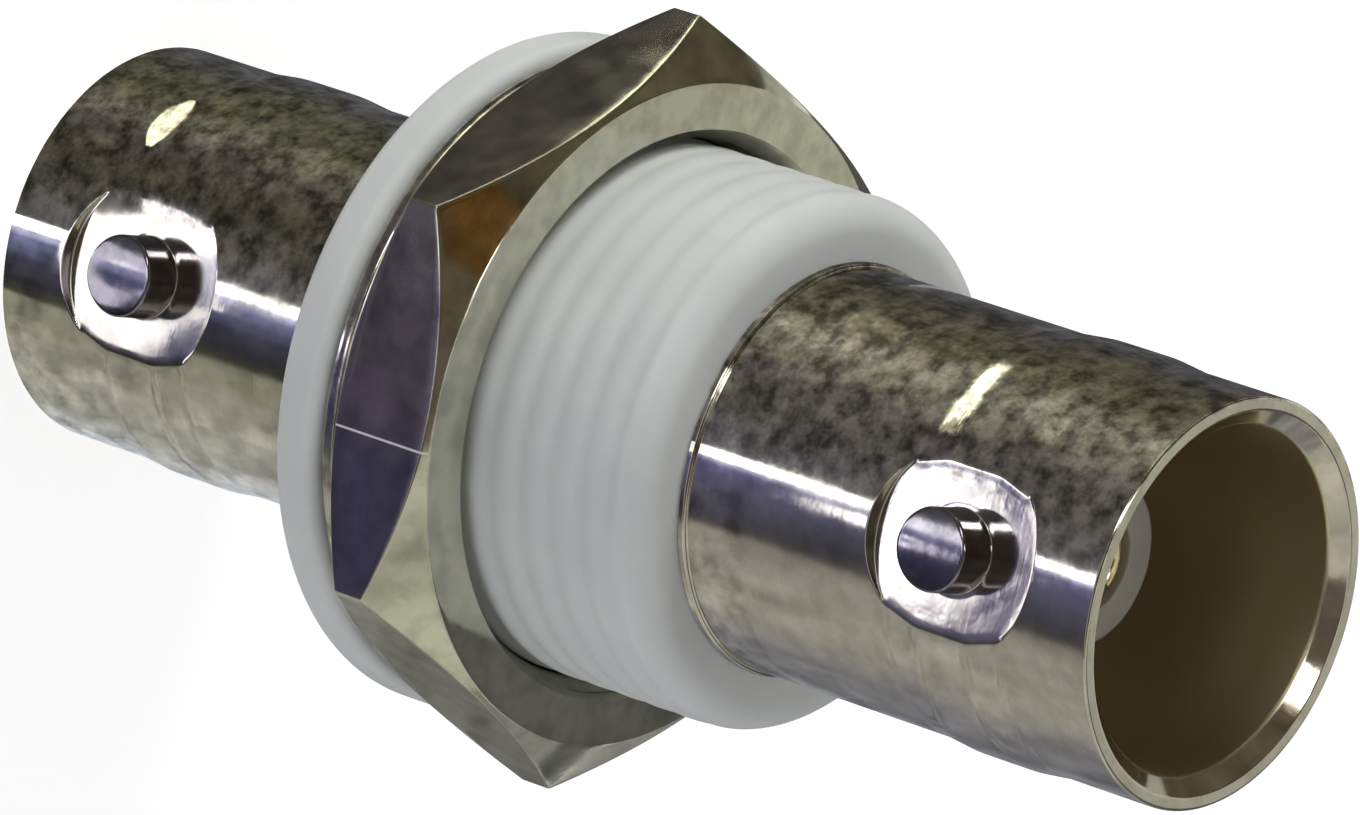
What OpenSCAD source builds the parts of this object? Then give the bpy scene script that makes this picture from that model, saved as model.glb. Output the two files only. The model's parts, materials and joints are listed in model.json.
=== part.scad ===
// Double-ended bayonet socket adapter for a panel, carried in an insulating bush.
// The axis runs along +Z, and the rear mouth stands on Z = 0 with the front mouth up.
// The lugs point along Y, and two flats of the nut face nearly the same way.

/* [Length] */
// Overall length, mouth to mouth
overall_l = 33.4; // [32.5:0.1:38]
// How far the rear shell stands out of the flange
rear_reach = 11.8; // [11:0.1:12.6]
// How far the front shell stands out of the bush
front_reach = 12.0; // [11:0.1:12.8]

/* [Shells] */
// Outside diameter of the barrels
barrel_d = 9.6; // [9.4:0.05:10]
// Wall of a barrel between its outside and the mouth's bore
shell_wall = 0.73; // [0.65:0.01:0.85]
// Depth of the mouth's bore to the inner shoulder
bore_depth = 8.8; // [8:0.1:9.4]
// Radial width of the lead-in at the mouth
lead_w = 0.4; // [0.2:0.05:0.5]
// Depth of the lead-in
lead_l = 0.8; // [0.4:0.1:1.2]
// Rounding of the mouth's outer edge
mouth_edge = 0.15; // [0.05:0.05:0.2]
// Height of the milled band above the barrel
band_rise = 0.1; // [0.05:0.05:0.2]
// Width of the milled band's top round each pair of lugs
band_w = 2.3; // [2:0.1:2.6]
// Width of the sloping shoulder at each side of the band
band_slope = 0.5; // [0.3:0.05:0.6]
// Height of the collar that clamps the bush above the barrel
collar_rise = 0.26; // [0.2:0.01:0.5]
// Width of the collar
collar_w = 0.4; // [0.3:0.1:0.8]

/* [Lugs] */
// Diameter of a lug
lug_d = 1.94; // [1.8:0.02:2.1]
// Distance across both lugs
lug_span = 11.0; // [10.8:0.05:11.2]
// Lug centre to the mouth
lug_back = 4.2; // [3.8:0.1:4.6]
// Height of a lug's domed top
lug_dome = 0.1; // [0.05:0.05:0.4]
// Rounding at the foot of a lug
lug_root = 0.15; // [0.05:0.05:0.25]
// Diameter of the spot face that the hollow mill leaves round a lug
spot_d = 4.6; // [4:0.1:5]
// Wall left between the spot face and the bore
spot_wall = 0.43; // [0.35:0.01:0.55]
// Rounding at the rim of the spot face
spot_edge = 0.2; // [0.1:0.05:0.3]

/* [Shell joint] */
// Step from the barrel down to the tail inside the bush
tail_step = 0.3; // [0.2:0.05:0.4]
// Wall of the rear shell round the joint
socket_wall = 0.5; // [0.4:0.05:0.6]
// Wall of the front shell's spigot
spigot_wall = 0.5; // [0.4:0.05:0.6]
// Length of the joint
joint_l = 3.4; // [2.6:0.1:4]
// Thickness of the web that stops the bead
web_t = 0.8; // [0.5:0.1:1]
// Radial width of the lip that holds the bead
web_lip = 0.3; // [0.2:0.05:0.4]

/* [Bush] */
// Major diameter of the panel thread
thread_d = 12.7; // [12.4:0.1:13.2]
// Pitch of the panel thread, whose turns are plain rings here
thread_pitch = 0.907; // [0.8:0.001:1.1]
// Depth of the thread's grooves
thread_depth = 0.26; // [0.15:0.01:0.4]
// Width of the thread's crests
thread_crest = 0.24; // [0.1:0.01:0.3]
// Diameter of the flange
flange_d = 16.1; // [15.6:0.1:18]
// Thickness of the flange
flange_t = 1.2; // [1:0.1:2]
// Rounding of the flange's rim
flange_edge = 0.3; // [0.1:0.05:0.4]
// Rounding of the bush's front end
nose_edge = 0.8; // [0.4:0.1:1]

/* [Nut] */
// How far the nut's flats lie inside the flange's rim
nut_inset = 0.05; // [0:0.05:0.3]
// Thickness of the nut
nut_t = 2.95; // [2.4:0.05:3.4]
// How far the chamfers of both faces start inside the middle of each flat
nut_face_inset = 0.13; // [0.05:0.01:0.3]
// Angle of both chamfers from the faces
nut_chamfer_a = 37.5; // [25:0.5:40]
// Turn of the nut's corners from the X axis, as it is screwed up
nut_turn = 2.3; // [0:0.1:30]
// Radial width of the thread's countersink
nut_sink = 0.4; // [0.2:0.05:0.6]

/* [Lock washer] */
// How far the washer's rim lies inside the flange's rim
washer_inset = 0.25; // [0.1:0.05:0.5]
// Radial width of the washer's ring
washer_ring_w = 0.8; // [0.5:0.05:0.9]
// Thickness of the washer's sheet
washer_t = 0.36; // [0.3:0.02:0.44]
// Number of teeth
tooth_n = 10; // [6:1:12]
// Width of a tooth
tooth_w = 1.7; // [1.2:0.1:2]
// Twist of a tooth
tooth_twist = 6; // [3:0.5:8]

/* [Dielectrics and contact] */
// Diameter of the insulating post in each mouth
post_d = 4.0; // [3.6:0.1:4.8]
// Depth of the post's tip inside the mouth
tip_depth = 3.7; // [3.2:0.1:4.6]
// Chamfer of the post's tip
tip_edge = 0.15; // [0.05:0.05:0.3]
// Outside diameter of the centre contact
contact_d = 2.12; // [2:0.02:2.3]
// Bore of the contact's sprung ends
contact_bore_d = 1.36; // [1.3:0.02:1.4]
// Depth of that bore
contact_bore_l = 5.4; // [5:0.1:6]
// Radial width of the bore's lead-in
contact_lead = 0.2; // [0.1:0.05:0.25]
// Length of the slots in the sprung ends
slot_l = 4.4; // [3.8:0.1:4.8]
// Width of the slots
slot_w = 0.24; // [0.2:0.02:0.28]
// Diameter of the contact's captive collar
stop_d = 3.0; // [2.6:0.1:3.4]
// Width of the captive collar
stop_w = 1.0; // [0.6:0.1:1.4]
// How far the contact's end lies inside the post's tip
contact_set = 0.1; // [0.05:0.05:0.3]
// Clearance round the sprung ends
spring_gap = 0.12; // [0.08:0.02:0.2]

/* [Clearances] */
// Radial clearance between pieces that push together
push_gap = 0.02; // [0.01:0.005:0.03]
// Radial clearance of the nut and the washer on the thread
thread_gap = 0.05; // [0.03:0.01:0.1]
// End clearance at the foot of the joint
joint_gap = 0.1; // [0.05:0.05:0.2]
// End clearance at each side of the lock washer
washer_gap = 0.01; // [0.005:0.005:0.02]

/* [Hidden] */
$fn = 96;
eps = 0.01;
arc_steps = 4;

barrel_r = barrel_d / 2;
bore_r = barrel_r - shell_wall;
band_r = barrel_r + band_rise;
collar_r = barrel_r + collar_rise;
lug_r = lug_d / 2;
lug_tip = lug_span / 2;
spot_floor = bore_r + spot_wall;
tail_r = barrel_r - tail_step;
joint_r = tail_r - socket_wall;
line_r = joint_r - spigot_wall;
web_r = line_r - web_lip;
bead_start = bore_depth + web_t;

bush_end = overall_l - front_reach;
bush_mid = (rear_reach + bush_end) / 2;
joint_top = bush_mid + joint_l / 2;
spigot_end = bush_mid - joint_l / 2;

thread_r = thread_d / 2;
flange_r = flange_d / 2;
flange_front = rear_reach + flange_t;
nut_bore_r = thread_r + thread_gap;
nut_flat_r = flange_r - nut_inset;
nut_corner_r = nut_flat_r / cos(30);
nut_face_r = nut_flat_r - nut_face_inset;

washer_r = flange_r - washer_inset;
washer_ring_r = washer_r - washer_ring_w;
tooth_tip_r = thread_r + 2 * thread_gap;
tooth_rise = (tooth_w * sin(tooth_twist) + washer_t * cos(tooth_twist)) / 2;
washer_mid = flange_front + washer_gap + tooth_rise;
nut_back = washer_mid + tooth_rise + washer_gap;
tooth_root = 0.15;

contact_r = contact_d / 2;
contact_bore_r = contact_bore_d / 2;
stop_r = stop_d / 2;
contact_end = tip_depth + contact_set;

// Points of a quarter arc about a centre, from angle a0 to a1
function arc(centre, r, a0, a1) =
    [for (i = [0:arc_steps]) let (a = a0 + (a1 - a0) * i / arc_steps)
        centre + r * [cos(a), sin(a)]];

// Outline of a barrel, from its mouth at Z = 0 up to the collar
function barrel_outline(reach) = concat(
    [[bore_r + lead_w, 0]],
    arc([barrel_r - mouth_edge, mouth_edge], mouth_edge, -90, 0),
    [[barrel_r, lug_back - band_w / 2 - band_slope],
     [band_r, lug_back - band_w / 2],
     [band_r, lug_back + band_w / 2],
     [barrel_r, lug_back + band_w / 2 + band_slope],
     [barrel_r, reach - collar_w],
     [collar_r, reach - collar_w],
     [collar_r, reach],
     [tail_r, reach]]);

// Inside of a barrel, from the bead's seat back down to the mouth
bore_outline = [
    [line_r, bead_start],
    [web_r, bead_start],
    [web_r, bore_depth],
    [bore_r, bore_depth],
    [bore_r, lead_l]];

// Tool that mills the flat round one lug and leaves the lug's foot rounded
module spot_cutter() {
    reach_out = band_r + 1;
    rotate_extrude()
        polygon(concat(
            [[lug_r, reach_out]],
            arc([lug_r + lug_root, spot_floor + lug_root], lug_root, 180, 270),
            arc([spot_d / 2 - spot_edge, spot_floor + spot_edge], spot_edge, -90, 0),
            [[spot_d / 2, reach_out]]));
}

// One lug, standing along +Z from inside the barrel's wall
module lug() {
    dome_r = (lug_r * lug_r + lug_dome * lug_dome) / (2 * lug_dome);
    dome_a = asin(lug_r / dome_r);
    rotate_extrude()
        polygon(concat(
            [[0, spot_floor - spot_wall / 2], [lug_r, spot_floor - spot_wall / 2]],
            [for (i = [0:arc_steps]) let (a = dome_a * (1 - i / arc_steps))
                [dome_r * sin(a), lug_tip - dome_r + dome_r * cos(a)]]));
}

module lug_pair() {
    for (side = [-1, 1])
        translate([0, 0, lug_back]) rotate([side * 90, 0, 0]) children();
}

// A shell with its mouth at Z = 0, from its tail's outline
module shell(reach, tail) {
    union() {
        difference() {
            rotate_extrude() polygon(concat(barrel_outline(reach), tail, bore_outline));
            lug_pair() spot_cutter();
        }
        lug_pair() lug();
    }
}

// Rear shell: its tail is the joint's socket
module rear_shell() {
    socket_floor = spigot_end - joint_gap;
    color([0.66, 0.65, 0.6])
        shell(rear_reach, [
            [tail_r, joint_top],
            [joint_r, joint_top],
            [joint_r, socket_floor],
            [line_r, socket_floor]]);
}

// Front shell: its tail ends in the joint's spigot
module front_shell() {
    color([0.66, 0.65, 0.6])
        translate([0, 0, overall_l]) mirror([0, 0, 1])
            shell(front_reach, [
                [tail_r, overall_l - joint_top],
                [joint_r - push_gap, overall_l - joint_top],
                [joint_r - push_gap, overall_l - spigot_end],
                [line_r, overall_l - spigot_end]]);
}

// Grooves of the thread, from the flange's side up to the height of the nose's rounding
function thread_rings(top) =
    let (rings = floor((top - flange_front) / thread_pitch))
    [for (i = [rings:-1:1]) let (start = top - i * thread_pitch)
        each [[thread_r, start + thread_crest / 2],
              [thread_r - thread_depth, start + thread_pitch / 2],
              [thread_r, start + thread_pitch - thread_crest / 2]]];

// Moulded bush: flange, threaded sleeve and rounded nose
module insulating_bush() {
    color([0.9, 0.91, 0.9])
        rotate_extrude() polygon(concat(
            [[tail_r + push_gap, rear_reach]],
            arc([flange_r - flange_edge, rear_reach + flange_edge], flange_edge, -90, 0),
            arc([flange_r - flange_edge, flange_front - flange_edge], flange_edge, 0, 90),
            [[thread_r, flange_front]],
            thread_rings(bush_end - nose_edge),
            arc([thread_r - nose_edge, bush_end - nose_edge], nose_edge, 0, 90),
            [[tail_r + push_gap, bush_end]]));
}

// A dielectric with its mouth's side at Z = 0 and its bead ending at bead_end
module dielectric(bead_end) {
    post_r = post_d / 2;
    hole_r = contact_r + push_gap;
    spring_r = contact_r + spring_gap;
    spring_end = contact_end + slot_l;
    rotate_extrude() polygon([
        [spring_r, tip_depth],
        [post_r - tip_edge, tip_depth],
        [post_r, tip_depth + tip_edge],
        [post_r, bore_depth],
        [web_r - push_gap, bore_depth],
        [web_r - push_gap, bead_start],
        [line_r - push_gap, bead_start],
        [line_r - push_gap, bead_end],
        [stop_r + push_gap, bead_end],
        [stop_r + push_gap, bead_end - stop_w / 2],
        [hole_r, bead_end - stop_w / 2],
        [hole_r, spring_end],
        [spring_r, spring_end]]);
}

module rear_dielectric() {
    color([0.93, 0.93, 0.9]) dielectric(bush_mid);
}

module front_dielectric() {
    color([0.93, 0.93, 0.9])
        translate([0, 0, overall_l]) mirror([0, 0, 1]) dielectric(overall_l - bush_mid);
}

// Bore and crossed slots of one sprung end, opening at Z = 0
module sprung_end() {
    rotate_extrude() polygon([
        [0, -eps],
        [contact_bore_r + contact_lead + eps, -eps],
        [contact_bore_r, contact_lead],
        [contact_bore_r, contact_bore_l],
        [0, contact_bore_l + contact_bore_r]]);
    for (a = [45, 135])
        rotate([0, 0, a])
            translate([-contact_r - eps, -slot_w / 2, -eps])
                cube([contact_d + 2 * eps, slot_w, slot_l + eps]);
}

// Double-ended centre contact, held by its collar between the two beads
module centre_contact() {
    top_end = overall_l - contact_end;
    color([0.85, 0.68, 0.32])
        difference() {
            union() {
                translate([0, 0, contact_end]) cylinder(r = contact_r, h = top_end - contact_end);
                translate([0, 0, bush_mid - stop_w / 2]) cylinder(r = stop_r, h = stop_w);
            }
            translate([0, 0, contact_end]) sprung_end();
            translate([0, 0, top_end]) mirror([0, 0, 1]) sprung_end();
        }
}

// Lock washer with twisted teeth inside its ring
module lock_washer() {
    color([0.7, 0.69, 0.64])
        translate([0, 0, washer_mid])
            union() {
                difference() {
                    translate([0, 0, -washer_t / 2]) cylinder(r = washer_r, h = washer_t);
                    translate([0, 0, -washer_t]) cylinder(r = washer_ring_r, h = 2 * washer_t);
                }
                for (i = [0:tooth_n - 1])
                    rotate([0, 0, (i + 0.5) * 360 / tooth_n])
                        difference() {
                            rotate([tooth_twist, 0, 0])
                                translate([tooth_tip_r - 0.2, -tooth_w / 2, -washer_t / 2])
                                    cube([washer_ring_r + tooth_root - tooth_tip_r + 0.2, tooth_w, washer_t]);
                            rotate([0, 0, -(i + 0.5) * 360 / tooth_n])
                                translate([0, 0, -washer_t * 2]) cylinder(r = tooth_tip_r, h = washer_t * 4);
                        }
            }
}

// Hexagon nut with both faces chamfered
module hex_nut() {
    cone_r = nut_corner_r + eps;
    cone_h = (cone_r - nut_face_r) * tan(nut_chamfer_a);
    color([0.66, 0.65, 0.6])
        translate([0, 0, nut_back]) rotate([0, 0, nut_turn])
            difference() {
                intersection() {
                    cylinder(r = nut_corner_r, h = nut_t, $fn = 6);
                    rotate_extrude() polygon([
                        [0, 0],
                        [nut_face_r, 0],
                        [cone_r, cone_h],
                        [cone_r, nut_t - cone_h],
                        [nut_face_r, nut_t],
                        [0, nut_t]]);
                }
                rotate_extrude() polygon([
                    [0, -eps],
                    [nut_bore_r, -eps],
                    [nut_bore_r, nut_t - nut_sink],
                    [nut_bore_r + nut_sink + eps, nut_t + eps],
                    [0, nut_t + eps]]);
            }
}

rear_shell();
front_shell();
insulating_bush();
rear_dielectric();
front_dielectric();
centre_contact();
lock_washer();
hex_nut();
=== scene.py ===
import json
import math

import bmesh
import bpy
from mathutils import Matrix, Vector


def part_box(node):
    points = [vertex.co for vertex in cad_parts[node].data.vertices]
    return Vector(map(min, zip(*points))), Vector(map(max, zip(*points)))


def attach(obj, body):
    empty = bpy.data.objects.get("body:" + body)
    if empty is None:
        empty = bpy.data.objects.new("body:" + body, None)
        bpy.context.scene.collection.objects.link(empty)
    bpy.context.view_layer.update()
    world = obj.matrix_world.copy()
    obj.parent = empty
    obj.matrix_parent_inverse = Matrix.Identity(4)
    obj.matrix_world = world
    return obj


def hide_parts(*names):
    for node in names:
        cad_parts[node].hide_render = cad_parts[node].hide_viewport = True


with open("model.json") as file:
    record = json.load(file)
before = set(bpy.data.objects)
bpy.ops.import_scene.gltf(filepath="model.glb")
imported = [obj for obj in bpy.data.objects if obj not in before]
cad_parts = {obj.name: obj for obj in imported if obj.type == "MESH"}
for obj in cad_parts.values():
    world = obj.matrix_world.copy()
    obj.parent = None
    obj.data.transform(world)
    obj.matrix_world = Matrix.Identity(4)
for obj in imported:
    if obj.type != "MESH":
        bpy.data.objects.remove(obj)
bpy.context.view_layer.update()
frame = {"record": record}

mm = 0.001
print("frame loaded")


# Camera, paper, room and lamps

cameraSetup = {
    "azimuth": -9.425, "elevation": 38.159, "roll": 108.449,  # degrees
    "aim": (-0.304, 0.193, 16.879), "distance": 322.73,  # millimetres
    "lens": 370.588,
}


def facing(turn, rise=0):
    # direction at a turn from the camera's side towards -X and a rise above level, in degrees
    turn, rise = math.radians(cameraSetup["azimuth"] - turn), math.radians(rise)
    return Vector((math.sin(turn) * math.cos(rise), -math.cos(turn) * math.cos(rise), math.sin(rise)))


def makeCamera(setup):
    roll = math.radians(setup["roll"])
    back = facing(0, setup["elevation"])
    level = Vector((0, 0, 1)).cross(back).normalized()
    right = math.cos(roll) * level + math.sin(roll) * back.cross(level)
    turn = Matrix((right, back.cross(right), back)).transposed()
    place = (Vector(setup["aim"]) + back * setup["distance"]) * mm
    data = bpy.data.cameras.new("productCamera")
    data.lens = setup["lens"]
    data.sensor_width = 36
    data.clip_start, data.clip_end = 0.01, 10
    camera = bpy.data.objects.new("productCamera", data)
    camera.matrix_world = Matrix.Translation(place) @ turn.to_4x4()
    bpy.context.collection.objects.link(camera)
    bpy.context.scene.camera = camera


def emptyMaterial(name):
    material = bpy.data.materials.new(name)
    material.use_nodes = True
    tree = material.node_tree
    tree.nodes.clear()
    return material, tree


def addNode(tree, kind, inputs=None, **settings):
    node = tree.nodes.new("ShaderNode" + kind)
    for key, value in settings.items():
        setattr(node, key, value)
    for key, value in (inputs or {}).items():
        if isinstance(value, bpy.types.NodeSocket):
            tree.links.new(value, node.inputs[key])
        else:
            node.inputs[key].default_value = value
    return node


def mathNode(tree, operation, first, second=0.5, clamp=False):
    return addNode(tree, "Math", {0: first, 1: second}, operation=operation, use_clamp=clamp).outputs[0]


def remap(tree, value, low, high, newLow, newHigh):
    return addNode(tree, "MapRange", {0: value, 1: low, 2: high, 3: newLow, 4: newHigh}).outputs[0]


def eyeRays(tree):
    # 1 for camera, mirror and see-through rays, which all meet the white background
    path = addNode(tree, "LightPath").outputs
    seen = mathNode(tree, "ADD", path["Is Camera Ray"], path["Is Glossy Ray"], True)
    return mathNode(tree, "ADD", seen, path["Is Transmission Ray"], True)


def ringPairs(count):
    # each place round a ring with the one after it
    return [(i, (i + 1) % count) for i in range(count)]


def flatMesh(name, points, faces):
    mesh = bpy.data.meshes.new(name)
    mesh.from_pydata([Vector(p) * mm for p in points], [], faces)
    sheet = bpy.data.objects.new(name, mesh)
    bpy.context.collection.objects.link(sheet)
    return sheet


paper = {"half": 2000, "color": (0.80, 0.80, 0.80, 1), "glow": 0.68}


def makePaper(look):
    half = look["half"]
    corners = [(-half, -half, 0), (half, -half, 0), (half, half, 0), (-half, half, 0)]
    floor = flatMesh("paperFloor", corners, [(0, 1, 2, 3)])
    material, tree = emptyMaterial("whitePaper")
    matt = addNode(tree, "BsdfDiffuse", {"Color": look["color"]})
    strength = mathNode(tree, "MULTIPLY", eyeRays(tree), look["glow"])
    glow = addNode(tree, "Emission", {"Strength": strength})
    both = addNode(tree, "AddShader", {0: matt.outputs[0], 1: glow.outputs[0]})
    addNode(tree, "OutputMaterial", {"Surface": both.outputs[0]})
    floor.data.materials.append(material)


room = {"color": (0.96, 0.97, 1.0, 1), "strength": 0.36}


def makeRoom(look):
    world = bpy.data.worlds.new("studioRoom")
    bpy.context.scene.world = world
    world.use_nodes = True
    tree = world.node_tree
    tree.nodes.clear()
    walls = addNode(tree, "Background", {"Color": look["color"], "Strength": look["strength"]})
    white = addNode(tree, "Background", {"Color": (1, 1, 1, 1), "Strength": 1.0})
    mix = addNode(tree, "MixShader", {0: eyeRays(tree), 1: walls.outputs[0], 2: white.outputs[0]})
    addNode(tree, "OutputWorld", {"Surface": mix.outputs[0]})


lamps = {
    "keyBox": {"at": (-390, -37, 142), "size": 200, "power": 0.75, "color": (1.0, 1.0, 0.93)},
    "fillBox": {"at": (300, -280, 75), "size": 260, "power": 0.30, "color": (0.95, 0.95, 1.0)},
}  # millimetres and watts


def makeLamps(setups):
    aim = Vector(cameraSetup["aim"]) * mm
    for name, setup in setups.items():
        data = bpy.data.lights.new(name, "AREA")
        data.shape = "DISK"
        data.size = setup["size"] * mm
        data.energy = setup["power"]
        data.color = setup["color"]
        lamp = bpy.data.objects.new(name, data)
        lamp.location = Vector(setup["at"]) * mm
        lamp.rotation_mode = "QUATERNION"
        lamp.rotation_quaternion = (aim - lamp.location).to_track_quat("-Z", "Y")
        lamp.visible_glossy = False
        bpy.context.collection.objects.link(lamp)


def cadSpan(node):
    # lowest and highest corner of a frame node, in millimetres
    return [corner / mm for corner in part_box(node)]


# Sheets of card lie on the paper round the part and show only in its plating, as black and white
# card does in a studio; they glow and light nothing, so their tones are painted reflections.
# A sheet starts and ends so many millimetres out from the barrel, and its stops give the tone
# that the barrel mirrors at a turn in degrees from the camera's side. Two stops at one turn
# make a sharp edge.
# strip: the bright tone that the barrels mirror as their long highlight, a painted highlight
strip = (3.2, 3.2, 3.35)
sheets = {
    "rearSheet": {"out": (-0.12, 15), "mottle": 0.45, "stops": (
        (100, (0.12, 0.12, 0.13)), (75, (0.10, 0.10, 0.11)), (60, (0.105, 0.105, 0.08)),
        (52, (0.135, 0.135, 0.095)), (45, (0.17, 0.17, 0.12)), (37, (0.21, 0.205, 0.17)),
        (30, (0.12, 0.11, 0.10)), (22, (0.10, 0.093, 0.075)), (15, (0.09, 0.087, 0.07)),
        (8, (0.12, 0.115, 0.11)), (-3.4, (0.17, 0.18, 0.20)), (-3.4, strip), (-6.6, strip),
        (-6.6, (0.8, 0.85, 1.3)), (-9, (0.22, 0.24, 0.48)), (-12, (0.13, 0.14, 0.27)),
        (-15, (0.065, 0.065, 0.115)), (-21, (0.04, 0.04, 0.052)), (-24.5, (0.06, 0.065, 0.05)),
        (-26, (0.30, 0.31, 0.26)), (-30, (0.335, 0.34, 0.28)), (-38, (0.44, 0.445, 0.40)),
        (-52, (0.51, 0.515, 0.49)), (-60, (0.49, 0.51, 0.48)), (-75, (0.53, 0.56, 0.60)),
        (-90, (0.65, 0.70, 0.80)))},
    "nutSheet": {"out": (15, 27.5), "mottle": 0.5, "stops": (
        (100, (0.12, 0.11, 0.09)), (57, (0.12, 0.11, 0.09)), (52, (0.07, 0.062, 0.062)),
        (36, (0.07, 0.062, 0.062)), (30, (0.12, 0.11, 0.10)), (0, (0.10, 0.087, 0.13)),
        (-12, (0.09, 0.073, 0.125)), (-12, (0.05, 0.045, 0.105)), (-17, (0.05, 0.045, 0.105)),
        (-23, (0.10, 0.10, 0.12)), (-27, (0.42, 0.42, 0.39)), (-60, (0.42, 0.42, 0.39)),
        (-66, (0.20, 0.20, 0.19)), (-90, (0.20, 0.20, 0.19)))},
    "frontSheet": {"out": (27.5, 60), "mottle": 0.5, "stops": (
        (100, (0.10, 0.10, 0.11)), (75, (0.10, 0.10, 0.11)), (67, (0.085, 0.08, 0.075)),
        (60, (0.115, 0.11, 0.085)), (52, (0.13, 0.128, 0.09)), (45, (0.175, 0.172, 0.12)),
        (37, (0.36, 0.36, 0.30)), (28, (0.24, 0.235, 0.20)), (22, (0.155, 0.145, 0.145)),
        (8, (0.12, 0.115, 0.115)), (-3.4, (0.20, 0.20, 0.24)), (-3.4, strip), (-6.1, strip),
        (-6.1, (0.7, 0.72, 1.2)), (-7.5, (0.18, 0.18, 0.38)), (-10, (0.125, 0.12, 0.25)),
        (-12, (0.12, 0.118, 0.22)),
        (-15, (0.105, 0.105, 0.165)), (-21, (0.075, 0.075, 0.10)), (-23.5, (0.085, 0.08, 0.085)),
        (-25.5, (0.30, 0.29, 0.27)), (-30, (0.40, 0.39, 0.37)), (-38, (0.45, 0.45, 0.42)),
        (-48, (0.44, 0.44, 0.41)), (-60, (0.28, 0.28, 0.31)), (-75, (0.19, 0.20, 0.23)),
        (-90, (0.23, 0.24, 0.27)))},
    "farSheet": {"out": (60, 400), "mottle": 0.5, "stops": (
        (100, (0.11, 0.105, 0.085)), (40, (0.12, 0.115, 0.09)), (36, (0.55, 0.55, 0.45)),
        (28, (0.55, 0.55, 0.45)), (24, (0.12, 0.115, 0.10)), (-3.4, (0.15, 0.15, 0.16)),
        (-23, (0.09, 0.09, 0.11)), (-26, (0.42, 0.41, 0.38)), (-90, (0.30, 0.30, 0.31)))},
}
# the front sheet goes on over the bush's end, which the barrel's foot would mirror otherwise,
# so the foot mirrors the sheet's tones there instead: a painted reflection
sheets["footSheet"] = {"out": (0.12, 2.3), "above": "insulating_bush", "mottle": 0.4,
                       "stops": sheets["frontSheet"]["stops"]}


def curtainGlow(name, tone, mottle, patchScale=4.0):
    material, tree = emptyMaterial(name)
    top = max(tone)
    patches = addNode(tree, "TexNoise", {"Scale": patchScale, "Detail": 4.0, "Roughness": 0.6})
    vary = remap(tree, patches.outputs[0], 0.35, 0.65, top * (1 - mottle), top * (1 + mottle))
    glow = addNode(tree, "Emission", {"Color": (*[c / top for c in tone], 1), "Strength": vary})
    addNode(tree, "OutputMaterial", {"Surface": glow.outputs[0]})
    return material


def mottledGlow(name, mottle):
    # takes its tone and the place where the barrel shows it from the sheet's own mesh
    material, tree = emptyMaterial(name)
    tone = addNode(tree, "Attribute", attribute_name="tone").outputs["Color"]
    seen = addNode(tree, "Attribute", attribute_name="seen").outputs["Vector"]
    patches = addNode(tree, "TexNoise", {"Vector": seen, "Scale": 1.1, "Detail": 4.0, "Roughness": 0.65})
    vary = remap(tree, patches.outputs[0], 0.35, 0.65, 1 - mottle, 1 + mottle)
    glow = addNode(tree, "Emission", {"Color": tone, "Strength": vary})
    under = addNode(tree, "NewGeometry").outputs["Backfacing"]
    clear = addNode(tree, "BsdfTransparent")
    both = addNode(tree, "MixShader", {0: under, 1: glow.outputs[0], 2: clear.outputs[0]})
    addNode(tree, "OutputMaterial", {"Surface": both.outputs[0]})
    return material


def mirrorBoard(name, points, faces, material):
    # a board that only mirroring surfaces show
    board = flatMesh(name, points, faces)
    board.data.materials.append(material)
    for ray in ("camera", "diffuse", "transmission", "volume_scatter", "shadow"):
        setattr(board, "visible_" + ray, False)
    return board


def makeSheets(setups, barrel, step=3.0, lift=0.04):
    drop = math.tan(math.radians(cameraSetup["elevation"]))
    for name, setup in setups.items():
        base = cadSpan(setup["above"])[1].z if "above" in setup else 0
        columns = []
        for (turn, tone), (turnAfter, toneAfter) in zip(setup["stops"], setup["stops"][1:]):
            parts = max(1, math.ceil(abs(turnAfter - turn) / step))
            for k in range(parts):
                f = k / parts
                columns.append((turn + (turnAfter - turn) * f,
                                tuple(a + (b - a) * f for a, b in zip(tone, toneAfter))))
        columns.append(setup["stops"][-1])
        points, tones, seen = [], [], []
        for turn, tone in columns:
            start = facing(turn) * barrel + Vector((0, 0, base + lift))
            for out in setup["out"]:
                points.append(start + facing(2 * turn) * out)
                tones.append((*tone, 1))
                seen.append((math.radians(turn) * barrel, base + out * drop, 0))
        faces = [(2 * i, 2 * i + 1, 2 * i + 3, 2 * i + 2) for i in range(len(columns) - 1)
                 if columns[i][0] != columns[i + 1][0]]
        board = mirrorBoard(name, points, faces, mottledGlow(name, setup["mottle"]))
        colors = board.data.attributes.new("tone", "FLOAT_COLOR", "POINT")
        places = board.data.attributes.new("seen", "FLOAT_VECTOR", "POINT")
        for i, (tone, place) in enumerate(zip(tones, seen)):
            colors.data[i].color = tone
            places.data[i].vector = place


# Level boards that the shoulders of the milled band mirror as bright leaves: each hangs at
# a height and lies where the shoulder, at a height of its own, shows it over a span of turns
leaves = {
    "tilt": -6.3, "tip": 0.35, "fullness": 0.6, "mottle": 0.5, "patchScale": 700.0,
    "boards": {
        "rearLeaf": {"height": 2.2, "shoulder": 2.88, "span": (27, 47), "half": 0.32,
                     "tone": (2.2, 2.15, 1.65)},
        "frontLeaf": {"height": 4, "shoulder": 27.95, "span": (21, 49), "half": 1.1,
                      "tone": (6.6, 6.4, 5.0)},
    },
}


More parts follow.
